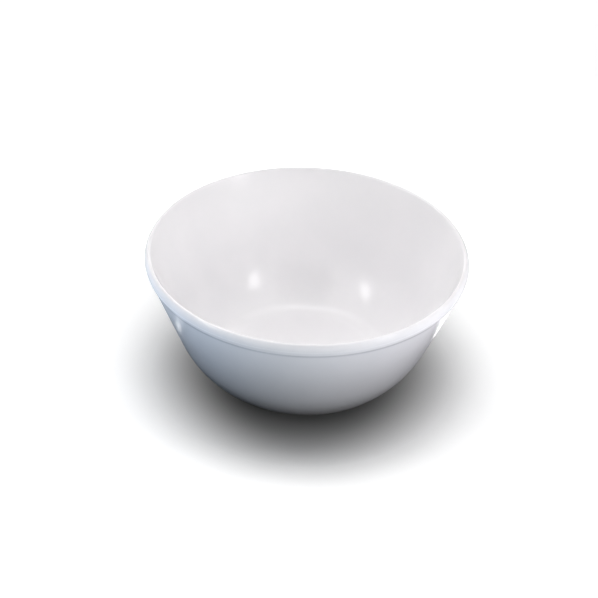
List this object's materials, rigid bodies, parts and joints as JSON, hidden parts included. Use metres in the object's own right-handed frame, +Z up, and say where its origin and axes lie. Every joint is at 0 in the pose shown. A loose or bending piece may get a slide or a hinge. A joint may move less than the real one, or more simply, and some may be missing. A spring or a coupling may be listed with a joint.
{
  "type": "melamine bowl",
  "caption": "Plain round melamine bowl with a beaded lip, a straight flared wall that curves into a flat floor, and a low foot ring, for serving food.",
  "frame": {"origin": "centre of the circle that the foot ring stands on", "axes": "+Z up along the bowl's axis, out of its mouth; X and Y are any two square directions across it"},
  "size_m": [0.13, 0.13, 0.06],
  "materials": {
    "melamine": "white alpha-cellulose-filled melamine, satin gloss as pressed",
    "glaze": "clear melamine resin glaze over the white body, glossy"
  },
  "bodies": {
    "root": {"bowl_body": "melamine", "inner_glaze": "glaze"}
  },
  "joints": []
}
